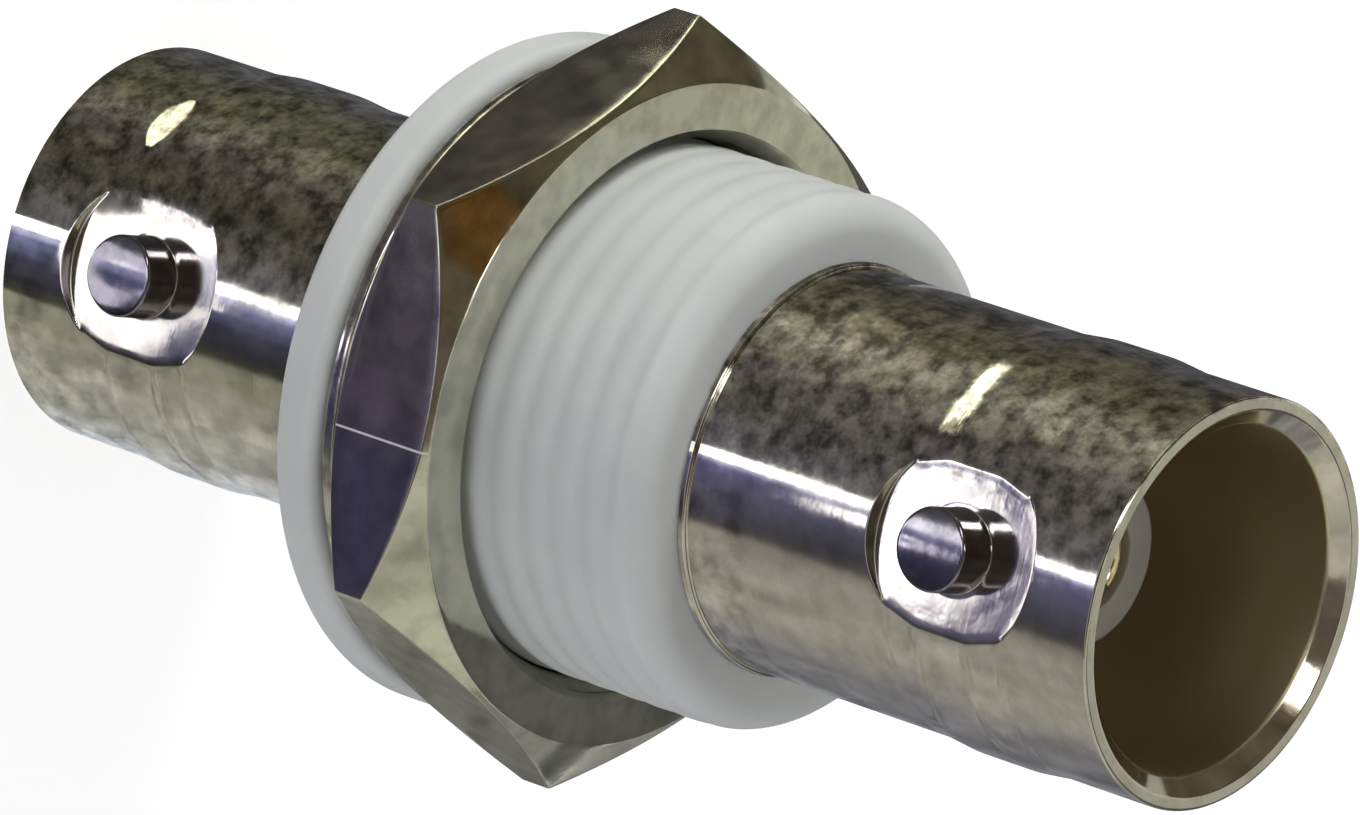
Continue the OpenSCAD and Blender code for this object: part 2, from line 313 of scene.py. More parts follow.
def makeLeaves(setup, barrel, columns=12):
    view = facing(0, cameraSetup["elevation"])
    for name, leaf in setup["boards"].items():
        points = []
        for i in range(columns + 1):
            turn = leaf["span"][0] + (leaf["span"][1] - leaf["span"][0]) * i / columns
            normal = facing(turn, setup["tilt"])
            ray = 2 * view.dot(normal) * normal - view
            spot = facing(turn) * barrel + Vector((0, 0, leaf["shoulder"]))
            spot += ray * ((leaf["height"] - leaf["shoulder"]) / ray.z)
            share = (i + setup["tip"]) / (columns + 2 * setup["tip"])
            width = leaf["half"] * math.sin(math.pi * share) ** setup["fullness"]
            level = Vector((ray.x, ray.y, 0)).normalized() * width
            points += [spot - level, spot + level]
        faces = [(2 * i, 2 * i + 1, 2 * i + 3, 2 * i + 2) for i in range(columns)]
        glow = curtainGlow(name, leaf["tone"], setup["mottle"], setup["patchScale"])
        mirrorBoard(name, points, faces, glow)


# A small board lies on the paper for each flat milled round a lug, where that flat mirrors it,
# with a hole where the lug's own tip would, and with notches between two angles
padBoards = {
    "floor": 4.5, "radius": 2.45, "halfWidth": 1.87, "tip": 5.5, "tipRadius": 1.0, "lift": 0.1,
    "notch": 1.15, "mottle": 0.1, "patchScale": 300.0,
    "boards": {
        "rearPadBoard": {"height": 4.2, "tone": (1.9, 1.88, 2.08), "notches": ((8, 72), (205, 240))},
        "frontPadBoard": {"height": 29.2, "tone": (4.8, 4.7, 5.1), "notches": ((42, 74),)},
    },
}


def makePadBoards(setup, columns=48):
    outward = facing(0) / math.tan(math.radians(cameraSetup["elevation"]))

    def landing(x, front, z):
        # where the mirrored line of sight from a point of a plane facing -Y meets the board
        drop = z - setup["lift"]
        return (x + abs(outward.x) * drop, -front + outward.y * drop, setup["lift"])

    for name, look in setup["boards"].items():
        rim, hole = [], []
        height = look["height"]
        for a in (math.tau * i / columns for i in range(columns)):
            inNotch = any(low <= math.degrees(a) <= high for low, high in look["notches"])
            radius = setup["notch"] if inNotch else setup["radius"]
            x = max(-setup["halfWidth"], min(setup["halfWidth"], radius * math.cos(a)))
            rim.append(landing(x, setup["floor"], height + radius * math.sin(a)))
            hole.append(landing(setup["tipRadius"] * math.cos(a), setup["tip"],
                                height + setup["tipRadius"] * math.sin(a)))
        faces = [(i, j, columns + j, columns + i) for i, j in ringPairs(columns)]
        glow = curtainGlow(name, look["tone"], setup["mottle"], setup["patchScale"])
        mirrorBoard(name, rim + hole, faces, glow)


# A small bright board hangs before the front mouth, where the far side of its lead-in mirrors it
glint = {"turn": -163.6, "radius": 4.28, "depth": 0.18, "towards": (40.5, 57.1), "distance": 45,
         "half": (5, 4), "tone": (12, 12, 11.4), "mottle": 0.05}


def makeGlint(setup):
    mouth = cadSpan("front_shell")[1].z
    start = facing(setup["turn"]) * setup["radius"] + Vector((0, 0, mouth - setup["depth"]))
    aim = facing(*setup["towards"])
    across = aim.cross(Vector((0, 0, 1))).normalized() * setup["half"][0]
    upward = across.cross(aim).normalized() * setup["half"][1]
    centre = start + aim * setup["distance"]
    corners = [centre + across * a + upward * b for a, b in ((-1, -1), (1, -1), (1, 1), (-1, 1))]
    glow = curtainGlow("glintBoard", setup["tone"], setup["mottle"])
    mirrorBoard("glintBoard", corners, [(0, 1, 2, 3)], glow)


# Curtains stand far round the part: the dark side of the studio, its pale wall and a window.
# Turns go from the camera's side towards -X, in degrees, and heights are above the table.
# Each curtain hangs a little nearer than the one before it.
curtains = {
    "darkCurtain": {"turn": (8, 142), "height": (1, 82), "tone": (0.105, 0.090, 0.062), "mottle": 0.5},
    "cameraCurtain": {"turn": (-48, 8), "height": (4, 82), "tone": (0.12, 0.10, 0.085), "mottle": 0.4},
    "paleCurtain": {"turn": (142, 312), "height": (2, 82), "tone": (0.56, 0.56, 0.49), "mottle": 0.25},
    "backShade": {"turn": (182.5, 215), "height": (0, 60), "tone": (0.12, 0.12, 0.125), "mottle": 0.2},
    "lowShade": {"turn": (215, 241), "height": (0, 27), "tone": (0.30, 0.30, 0.30), "mottle": 0.3},
    "warmShade": {"turn": (34, 66), "height": (50, 74), "tone": (0.15, 0.075, 0.02), "mottle": 0.8},
    "window": {"turn": (17, 32), "height": (0, 11), "tone": (12, 12, 12.3), "mottle": 0.05},
}


def makeCurtains(setups, distance=900, nearer=10, patch=8):
    for name, curtain in setups.items():
        distance -= nearer
        (left, right), (low, high) = curtain["turn"], curtain["height"]
        across, upward = (max(2, int(extent / patch)) for extent in (right - left, high - low))
        points = []
        for j in range(upward + 1):
            rise = low + (high - low) * j / upward
            points += [facing(left + (right - left) * i / across, rise) * distance
                       for i in range(across + 1)]
        row = across + 1
        faces = [(j * row + i, j * row + i + 1, (j + 1) * row + i + 1, (j + 1) * row + i)
                 for j in range(upward) for i in range(across)]
        mirrorBoard(name, points, faces, curtainGlow(name, curtain["tone"], curtain["mottle"]))


mounts = {mount["name"]: mount for mount in frame["record"]["mounts"]}
barrelR = mounts["front_barrel"]["dims"]["r_mm"]
makeCamera(cameraSetup)
makePaper(paper)
makeRoom(room)
makeLamps(lamps)
makeSheets(sheets, barrelR)
makeLeaves(leaves, barrelR)
makePadBoards(padBoards)
makeGlint(glint)
makeCurtains(curtains)
print("camera, paper and lights ready")


# Finishes

def objectPlace(tree):
    return addNode(tree, "TexCoord").outputs["Object"]


def patchNoise(tree, place, size, detail=3.0, stretch=None):
    # noise whose patches are about size millimetres across, or longer where stretched
    if stretch:
        place = addNode(tree, "Mapping", {"Vector": place, "Scale": stretch}).outputs[0]
    noise = addNode(tree, "TexNoise", {"Vector": place, "Scale": 1 / (size * mm), "Detail": detail})
    return noise.outputs[0]


def blendColors(tree, factor, first, second):
    node = addNode(tree, "Mix", data_type="RGBA")
    for socket, value in ((node.inputs[0], factor), (node.inputs[6], first), (node.inputs[7], second)):
        if isinstance(value, bpy.types.NodeSocket):
            tree.links.new(value, socket)
        else:
            socket.default_value = value
    return node.outputs[2]


def blendValues(tree, factor, first, second):
    return addNode(tree, "Mix", {0: factor, 2: first, 3: second}).outputs[0]


def speckledColor(tree, place, across, radius, color, sideSpecks):
    # dark specks and paler patches that fade out towards +X and off the barrel's outside
    noise = addNode(tree, "TexNoise", {"Vector": place, "Scale": 1 / (sideSpecks["patch"] * mm),
                                       "Detail": 3.0, "Roughness": 0.65})
    shade = remap(tree, noise.outputs[0], 0.36, 0.64, sideSpecks["dark"], sideSpecks["light"])
    side = remap(tree, across, *[x * mm for x in sideSpecks["across"]], 0.0, 1.0)
    outside = remap(tree, radius, *[r * mm for r in sideSpecks["radii"]], 0.0, 1.0)
    amount = blendValues(tree, mathNode(tree, "MULTIPLY", side, outside), 1.0, shade)
    return addNode(tree, "VectorMath", {0: color, 1: amount}, operation="MULTIPLY").outputs[0]


def paleLineMask(tree, place, paleLine):
    # 1 on a fine line along the axis, on the one flat that it crosses
    turn = (0, 0, math.radians(-paleLine["turn"]))
    turned = addNode(tree, "Mapping", {"Vector": place, "Rotation": turn})
    apart = addNode(tree, "SeparateXYZ", {0: turned.outputs[0]}).outputs
    off = mathNode(tree, "ABSOLUTE", mathNode(tree, "SUBTRACT", apart[0], paleLine["across"] * mm))
    line = remap(tree, off, paleLine["width"] * 0.3 * mm, paleLine["width"] * 0.6 * mm, 1.0, 0.0)
    onFlat = mathNode(tree, "LESS_THAN", apart[1], paleLine["beyond"] * mm)
    return mathNode(tree, "MULTIPLY", line, onFlat)


def surfaceBump(tree, height, depth, after=None):
    inputs = {"Height": height, "Strength": 1.0, "Distance": depth * mm}
    if after:
        inputs["Normal"] = after
    return addNode(tree, "Bump", inputs).outputs[0]


shellFinish = {
    "bright": (0.64, 0.605, 0.53, 1), "dull": (0.55, 0.515, 0.44, 1), "patch": 0.55,
    "roughness": (0.07, 0.15), "ripple": 0.0022, "turning": 0.0004,
    # bore: the inside's brown tone, partly its own colour and partly painted light, made pale so the
    # shaded bore renders lighter
    "bore": (0.66, 0.58, 0.40, 1), "boreRadius": 4.11, "boreSoft": 0.03, "boreRoughness": 0.45,
    "sideSpecks": {"dark": 0.32, "light": 1.44, "patch": 0.54, "across": (0.2, -1.2), "radii": (4.7, 4.78)},
}  # millimetres; the specks and patches lie only on the -X side of the barrel's outside
# painted shade: the lugs' nickel is darker and slightly more lavender than the shell's, standing in for
# the dark that the lugs mirror
lugShadeFinish = {"bright": (0.27, 0.255, 0.28, 1), "dull": (0.20, 0.19, 0.21, 1), "patch": 0.4,
             "roughness": (0.08, 0.15), "ripple": 0.0015, "turning": 0.0}


def platedNickel(name, finish):
    material, tree = emptyMaterial(name)
    place = objectPlace(tree)
    tarnish = patchNoise(tree, place, finish["patch"], 4.0)
    color = blendColors(tree, remap(tree, tarnish, 0.42, 0.66, 0.0, 1.0), finish["bright"], finish["dull"])
    apart = addNode(tree, "SeparateXYZ", {0: place}).outputs
    flat = addNode(tree, "CombineXYZ", {0: apart[0], 1: apart[1]}).outputs[0]
    radius = addNode(tree, "VectorMath", {0: flat}, operation="LENGTH").outputs["Value"]
    if "sideSpecks" in finish:
        color = speckledColor(tree, place, apart[0], radius, color, finish["sideSpecks"])
    # the bore takes its brown tone, partly painted light that brightens the shaded recess
    if "bore" in finish:
        edge = finish["boreRadius"] * mm
        soft = finish["boreSoft"] * mm
        outside = remap(tree, radius, edge - soft, edge + soft, 0.0, 1.0)
        color = blendColors(tree, outside, finish["bore"], color)
    rough = remap(tree, patchNoise(tree, place, finish["patch"] * 1.6), 0.35, 0.7, *finish["roughness"])
    if "bore" in finish:
        rough = blendValues(tree, outside, finish["boreRoughness"], rough)
    metal = 1.0
    if "paleLine" in finish:
        mark = paleLineMask(tree, place, finish["paleLine"])
        color = blendColors(tree, mark, color, finish["paleLine"]["color"])
        metal = mathNode(tree, "SUBTRACT", 1.0, mark)
    ripple = surfaceBump(tree, patchNoise(tree, place, finish["patch"] * 0.8, 2.0), finish["ripple"])
    turned = patchNoise(tree, place, 1.0, 2.0, (0.3, 0.3, 14.0))
    normal = surfaceBump(tree, turned, finish["turning"], ripple) if finish["turning"] else ripple
    shader = addNode(tree, "BsdfPrincipled", {"Base Color": color, "Metallic": metal, "Roughness": rough,
                                              "Normal": normal})
    addNode(tree, "OutputMaterial", {"Surface": shader.outputs[0]})
    return material


def mouldedPlastic(name, finish):
    material, tree = emptyMaterial(name)
    place = objectPlace(tree)
    cloud = patchNoise(tree, place, finish["cloud"], 3.0)
    color = blendColors(tree, remap(tree, cloud, 0.3, 0.7, 0.0, 1.0), finish["pale"], finish["deep"])
    rough = remap(tree, patchNoise(tree, place, finish["cloud"] * 0.4), 0.3, 0.7, *finish["roughness"])
    normal = surfaceBump(tree, patchNoise(tree, place, finish["grain"], 4.0), finish["grainDepth"])
    shader = addNode(tree, "BsdfPrincipled", {
        "Base Color": color, "Roughness": rough, "Normal": normal, "IOR": 1.5,
        "Subsurface Weight": finish["glow"], "Subsurface Scale": 0.4 * mm})
    shader.inputs["Subsurface Radius"].default_value = (1.0, 0.95, 0.9)
    addNode(tree, "OutputMaterial", {"Surface": shader.outputs[0]})
    return material


# Mesh helpers, all in millimetres

def roundOutline(corners, steps=4, guard=0.3):
    # closed outline from corners (x, y) or (x, y, radius), with a guard point beside each round
    outline = []
    for i, corner in enumerate(corners):
        here = Vector(corner[:2])
        radius = corner[2] if len(corner) > 2 else 0
        if not radius:
            outline.append(tuple(here))
            continue
        before = Vector(corners[i - 1][:2]) - here
        after = Vector(corners[(i + 1) % len(corners)][:2]) - here
        toBefore, toAfter = before.normalized(), after.normalized()
        half = toBefore.angle(toAfter) / 2
        reach = radius / math.tan(half)
        centre = here + (toBefore + toAfter).normalized() * radius / math.sin(half)
        start = here + toBefore * reach - centre
        sweep = start.angle_signed(here + toAfter * reach - centre)
        beside = guard * radius
        if beside and before.length > reach + 2 * beside:
            outline.append(tuple(here + toBefore * (reach + beside)))
        for k in range(steps + 1):
            turn = Matrix.Rotation(-sweep * k / steps, 2)
            outline.append(tuple(centre + turn @ start))
        if beside and after.length > reach + 2 * beside:
            outline.append(tuple(here + toAfter * (reach + beside)))
    return outline


def lathe(outline, columns):
    # points and faces of a closed outline (radius, height) turned round Z
    points = []
    for radius, height in outline:
        points += [(radius * math.cos(a), radius * math.sin(a), height)
                   for a in (math.tau * i / columns for i in range(columns))]
    faces = [(ring * columns + i, ring * columns + j, after * columns + j, after * columns + i)
             for ring, after in ringPairs(len(outline)) for i, j in ringPairs(columns)]
    return points, faces


def turnedOver(mesh):
    # a mesh made with its mouth at height 0, turned round X so that its mouth is on top
    points, faces = mesh
    return [(p[0], -p[1], wholeLength - p[2]) for p in points], faces


def makePiece(name, shape, material, body, nodes, sharp=38):
    points, faces = shape
    mesh = bpy.data.meshes.new(name)
    mesh.from_pydata([Vector(p) * mm for p in points], [], faces)
    work = bmesh.new()
    work.from_mesh(mesh)
    bmesh.ops.remove_doubles(work, verts=work.verts, dist=0.0005 * mm)
    bmesh.ops.delete(work, geom=[v for v in work.verts if not v.link_faces], context="VERTS")
    bmesh.ops.recalc_face_normals(work, faces=work.faces)
    work.to_mesh(mesh)
    work.free()
    mesh.polygons.foreach_set("use_smooth", [True] * len(mesh.polygons))
    mesh.set_sharp_from_angle(angle=math.radians(sharp))
    mesh.materials.append(material)
    piece = bpy.data.objects.new(name, mesh)
    bpy.context.collection.objects.link(piece)
    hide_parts(*nodes)
    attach(piece, body)
    print(name, "made,", len(mesh.polygons), "faces")
    return piece


# Shells: turned barrels with a milled band, and a flat milled round each lug

shell = {
    "wall": 0.73, "boreDepth": 8.8, "boreRound": 0.1, "mouthEdge": 0.06,
    "leadWidth": 0.42, "leadDepth": 0.36, "leadRounds": (0.1, 0.08),
    "bandRise": 0.1, "bandTop": 1.5, "bandSlope": 0.9, "bandRound": 0.12,
    "collarRise": 0.10, "collarWidth": 0.22, "collarRounds": (0.04, 0.08, 0.03),
    "lugRadius": 0.97, "lugBack": 4.2, "lugEdge": 0.05, "lugRoot": 0.02,
    "spotRadius": 2.38, "spotFloor": 4.5, "spotEdge": 0.06, "spotSteepness": 20, "soften": 0.04,
    "tailStep": 0.3, "jointWall": 0.5, "spigotWall": 0.5, "jointGap": 0.1, "pushGap": 0.02,
    "webThickness": 0.8, "webLip": 0.3, "webRound": 0.08,
}
shellColumns = 240
patchColumns = 26  # each side of a lug
patchReach = 2.9  # each side of a lug, along the barrel
patchRows = 40
barrelShares = (0.93, 0.86, 0.79, 0.72, 0.65, 0.58, 0.51, 0.44, 0.37, 0.30, 0.23, 0.16)
creaseSteps = (0.09, 0.05, 0.02, 0, -0.02, -0.05, -0.09)  # out from the crease at the flat's rim
flatShares = (0.85, 0.7, 0.5, 0.3, 0.12)


def bandRadius(depth):
    # barrel radius at a depth behind the mouth, with straight shoulders rounded at each end
    beyond = abs(depth - shell["lugBack"]) - shell["bandTop"] / 2
    t = 1 - beyond / shell["bandSlope"]
    bend = shell["bandRound"]
    if t < 0.5:
        rise = max(0, t) if t > bend or t < -bend else (t + bend) ** 2 / (4 * bend)
    else:
        rise = min(1, t) if t < 1 - bend or t > 1 + bend else 1 - (1 + bend - t) ** 2 / (4 * bend)
    return barrelR + shell["bandRise"] * rise


def softMin(a, b, width):
    h = max(0, width - abs(a - b)) / width
    return min(a, b) - h * h * width / 4


def millHeight(rho):
    # the hollow mill's cut: flat floor, rounded corner and a steep wall
    over = rho - (shell["spotRadius"] - shell["spotEdge"])
    if over <= 0:
        return shell["spotFloor"]
    if over < shell["spotEdge"]:
        return shell["spotFloor"] + shell["spotEdge"] - math.sqrt(shell["spotEdge"] ** 2 - over ** 2)
    return shell["spotFloor"] + shell["spotEdge"] + (over - shell["spotEdge"]) * shell["spotSteepness"]


def lugOutline(tip):
    # (distance from the lug's axis, height from the barrel's axis), foot to middle
    r, root, edge = shell["lugRadius"], shell["lugRoot"], shell["lugEdge"]
    floor = shell["spotFloor"]
    line = [(r + root - root * math.sin(a), floor + root - root * math.cos(a))
            for a in (math.pi / 2 * k / 4 for k in range(5))]
    line += [(r, h) for h in (floor + 0.25, floor + 0.45, tip - 1.6 * edge)]
    line += [(r - edge + edge * math.cos(a), tip - edge + edge * math.sin(a))
             for a in (math.pi / 2 * k / 4 for k in range(5))]
    line += [((r - edge) * f, tip) for f in (0.95, 0.85, 0.7, 0.5, 0.3, 0.12)]
    return line


def lugPatch(points, faces, border, turn, tip):
    # fills the window left in the barrel round one lug; border holds (index, across, along)
    out = Vector((math.cos(turn), math.sin(turn), 0))
    across = Vector((-math.sin(turn), math.cos(turn), 0))
    along = Vector((0, 0, 1))
    foot = shell["lugRadius"] + shell["lugRoot"]
    lugLine = lugOutline(tip)
    rays = []
    for index, u, v in border:
        edgeRho = math.hypot(u, v)
        du, dv = u / edgeRho, v / edgeRho

        def barrelHeight(rho):
            return math.sqrt(bandRadius(shell["lugBack"] + dv * rho) ** 2 - (du * rho) ** 2)

        crease, beyond = foot, shell["spotRadius"] + 0.3
        for _ in range(30):
            middle = (crease + beyond) / 2
            if barrelHeight(middle) > millHeight(middle):
                crease = middle
            else:
                beyond = middle
        rhos = [crease + (edgeRho - crease) * share for share in barrelShares]
        rhos += [crease + step for step in creaseSteps]
        rhos += [foot + (crease + creaseSteps[-1] - foot) * share for share in flatShares]
        ray = [(rho, softMin(barrelHeight(rho), millHeight(rho), shell["soften"])) for rho in rhos]
        for rho, h in lugLine:
            # the tip is turned with the barrel, so it curves round the barrel's axis
            dip = tip - math.sqrt(tip ** 2 - (du * rho) ** 2)
            ray.append((rho, h - dip if h > (tip + shell["spotFloor"]) / 2 else h))
        first = len(points)
        points += [out * h + across * (du * rho) + along * (shell["lugBack"] + dv * rho) for rho, h in ray]
        rays.append([index] + list(range(first, len(points))))
    top = len(points)
    points.append(out * tip + along * shell["lugBack"])
    for a, b in zip(rays, rays[1:] + rays[:1]):
        faces += [(a[k], a[k + 1], b[k + 1], b[k]) for k in range(len(a) - 1)]
        faces.append((a[-1], top, b[-1]))


def shellMesh(reach, tip, tail):
    # a shell with its mouth at height 0 and its tail upwards
    bore, deep, lead = barrelR - shell["wall"], shell["boreDepth"], shell["leadDepth"]
    line = barrelR - shell["tailStep"] - shell["jointWall"] - shell["spigotWall"]
    lip, bead = line - shell["webLip"], deep + shell["webThickness"]
    collar, collarStart = barrelR + shell["collarRise"], reach - shell["collarWidth"]
    innerRound, outerRound = shell["leadRounds"]
    footRound, frontRound, backRound = shell["collarRounds"]
    patchLow, patchHigh = shell["lugBack"] - patchReach, shell["lugBack"] + patchReach
    mouth = roundOutline([(bore, lead, innerRound), (bore + shell["leadWidth"], 0, outerRound),
                          (barrelR, 0, shell["mouthEdge"]), (barrelR, patchLow),
                          (bore, patchLow)])[:-2]
    rest = roundOutline([(barrelR, patchHigh), (barrelR, collarStart, footRound),
                         (collar, collarStart, frontRound), (collar, reach, backRound),
                         (barrelR - shell["tailStep"], reach), *tail,
                         (line, bead), (lip, bead), (lip, deep, shell["webRound"]),
                         (bore, deep, shell["boreRound"]), (bore, lead + 0.5)])
    rows = [patchLow + 2 * patchReach * k / patchRows for k in range(patchRows + 1)]
    outline = mouth + [(bandRadius(w), w) for w in rows] + rest[1:]
    points, faces = lathe(outline, shellColumns)
    first = len(mouth)
    last = first + patchRows
    for turn in (90, 270):
        middle = shellColumns * turn // 360
        left, right = middle - patchColumns, middle + patchColumns
        faces = [f for f in faces
                 if not (first <= f[0] // shellColumns < last and left <= f[0] % shellColumns < right
                         and f[2] // shellColumns == f[0] // shellColumns + 1)]
        ring = [(first, i) for i in range(left, right)] + [(k, right) for k in range(first, last)]
        ring += [(last, i) for i in range(right, left, -1)]
        ring += [(k, left) for k in range(last, first, -1)]
        border = []
        for k, i in ring:
            radius, depth = outline[k]
            across = radius * math.sin(math.tau * (i - middle) / shellColumns)
            border.append((k * shellColumns + i, across, depth - shell["lugBack"]))
        lugPatch(points, faces, border, math.radians(turn), tip)
    return points, faces


def shadeLugs(piece, height, aboveFloor=0.03, margin=0.01):
    # the lugs' sides and tips take a darker, slightly lavender nickel than the shell: painted shade for
    # the dark they mirror
    piece.data.materials.append(lugShadeNickel)
    for face in piece.data.polygons:
        x, y, z = face.center / mm
        isRaised = abs(y) > shell["spotFloor"] + aboveFloor
        if isRaised and math.hypot(x, z - height) < shell["lugRadius"] + margin:
            face.material_index = 1


rearHigh = cadSpan("rear_shell")[1]
frontLow, frontHigh = cadSpan("front_shell")
bushLow, bushHigh = cadSpan("insulating_bush")
shellNickel = platedNickel("shellNickel", shellFinish)
lugShadeNickel = platedNickel("lugShadeNickel", lugShadeFinish)
tailR = barrelR - shell["tailStep"]
jointR = tailR - shell["jointWall"]
lineR = jointR - shell["spigotWall"]
lugTip = rearHigh.y
wholeLength = frontHigh.z

rearTail = [(tailR, rearHigh.z), (jointR, rearHigh.z), (jointR, frontLow.z - shell["jointGap"]),
            (lineR, frontLow.z - shell["jointGap"])]
rearShell = makePiece("rearShell", shellMesh(bushLow.z, lugTip, rearTail), shellNickel,
                      "connector", ["rear_shell"])
shadeLugs(rearShell, shell["lugBack"])

spigotR = jointR - shell["pushGap"]
frontTail = [(tailR, wholeLength - rearHigh.z), (spigotR, wholeLength - rearHigh.z),
             (spigotR, wholeLength - frontLow.z), (lineR, wholeLength - frontLow.z)]
frontShell = makePiece("frontShell", turnedOver(shellMesh(wholeLength - bushHigh.z, lugTip, frontTail)),
                       shellNickel, "connector", ["front_shell"])
shadeLugs(frontShell, wholeLength - shell["lugBack"])
print("shells ready")


# Bush: flange, threaded sleeve and rounded nose in one moulding

pitch = frame["record"]["behaviour"]["couplings"][0]["ratio"] * math.tau / mm

bush = {"flangeThickness": 1.2, "flangeEdge": 0.3, "noseEdge": 0.8, "threadRadius": 6.35,
        "threadDepth": 0.05, "threadStart": 0.66, "clear": 0.02, "columns": 216, "rowsPerTurn": 14}
bushFinish = {"pale": (0.79, 0.81, 0.80, 1), "deep": (0.73, 0.75, 0.75, 1), "cloud": 2.2,
              "grain": 0.25, "grainDepth": 0.004, "roughness": (0.4, 0.55), "glow": 0.35}


def threadDip(turns):
    # 0 on a crest and 1 in a root, both rounded
    wave = 0.5 - 0.5 * math.cos(math.tau * (turns + bush["threadStart"]))
    return wave ** 1.3


def bushMesh(low, high, flangeR):
    boreR = tailR + bush["clear"]
    threadR = bush["threadRadius"]
    flangeTop = low + bush["flangeThickness"]
    outer = roundOutline([(boreR, low), (flangeR, low, bush["flangeEdge"]),
                          (flangeR, flangeTop, bush["flangeEdge"]), (threadR, flangeTop, 0.1),
                          (threadR, high), (boreR, high)], 6)[:-2]
    start = outer[-1][1]
    rows = math.ceil((high - start) / pitch * bush["rowsPerTurn"])
    nose = bush["noseEdge"]
    sleeve = []
    for k in range(1, rows + 1):
        angle = math.pi / 2 * max(0, k / rows - 1 + nose / (high - start)) * (high - start) / nose
        height = start + (high - start) * k / rows
        if angle:
            height = high - nose + nose * math.sin(angle)
        sleeve.append((threadR - nose + nose * math.cos(angle), height))
    outline = outer + sleeve + [(threadR - nose - 0.25, high), (boreR, high)]
    points, faces = lathe(outline, bush["columns"])
    for index, point in enumerate(points):
        ring, column = divmod(index, bush["columns"])
        if len(outer) <= ring < len(outer) + rows:
            radius, height = outline[ring]
            turns = height / pitch - column / bush["columns"]
            fade = min(1, (height - start) / 0.5) * min(1, max(0, high - height) / 0.3)
            dip = bush["threadDepth"] * threadDip(turns) * fade
            scale = max(0, min(1, (threadR - dip) / radius))
            points[index] = (point[0] * scale, point[1] * scale, point[2])
    return points, faces


bushPlastic = mouldedPlastic("bushPlastic", bushFinish)
makePiece("insulatingBush", bushMesh(bushLow.z, bushHigh.z, bushHigh.x), bushPlastic,
          "connector", ["insulating_bush"])
print("bush ready")


# Insulating posts and the sprung centre contact

post = {"radius": 2.0, "edge": 0.15, "hole": 1.18, "foot": 1.08, "springLength": 4.4, "stop": 1.52,
        "stopHeight": 0.5, "clear": 0.02, "columns": 128}
postFinish = {"pale": (0.56, 0.54, 0.48, 1), "deep": (0.48, 0.46, 0.40, 1), "cloud": 1.2,
              "grain": 0.2, "grainDepth": 0.002, "roughness": (0.3, 0.45), "glow": 0.1}
contact = {"radius": 1.06, "bore": 0.68, "boreDepth": 5.4, "lead": 0.2,
           "slotDepth": 4.4, "slotWidth": 0.24, "slotColumns": 2, "fingerColumns": 10,
           "collar": 1.5, "collarHalf": 0.5}
goldFinish = {"bright": (0.84, 0.74, 0.46, 1), "dull": (0.66, 0.54, 0.30, 1), "patch": 0.4,
              "roughness": (0.16, 0.3), "ripple": 0.001, "turning": 0.0004}


def postMesh(tip, bead, springEnd):
    # a post with its mouth's side down at height tip, and its bead's end at height bead
    lip = lineR - shell["webLip"] - post["clear"]
    beadR = lineR - post["clear"]
    web, webTop = shell["boreDepth"], shell["boreDepth"] + shell["webThickness"]
    stopFloor = bead - post["stopHeight"]
    return lathe(roundOutline([
        (post["hole"], tip, 0.06), (post["radius"], tip, post["edge"]), (post["radius"], web),
        (lip, web), (lip, webTop), (beadR, webTop, 0.1), (beadR, bead), (post["stop"], bead),
        (post["stop"], stopFloor), (post["foot"], stopFloor),
        (post["foot"], springEnd), (post["hole"], springEnd)]), post["columns"])


postLow, postHigh = cadSpan("rear_dielectric")
frontPostHigh = cadSpan("front_dielectric")[1]
contactLow, contactHigh = cadSpan("centre_contact")
postPlastic = mouldedPlastic("postPlastic", postFinish)
rearPost = postMesh(postLow.z, postHigh.z, contactLow.z + post["springLength"])
makePiece("rearPost", rearPost, postPlastic, "connector", ["rear_dielectric"])
frontPost = turnedOver(postMesh(wholeLength - frontPostHigh.z, wholeLength - postHigh.z,
                                wholeLength - contactHigh.z + post["springLength"]))
makePiece("frontPost", frontPost, postPlastic, "connector", ["front_dielectric"])


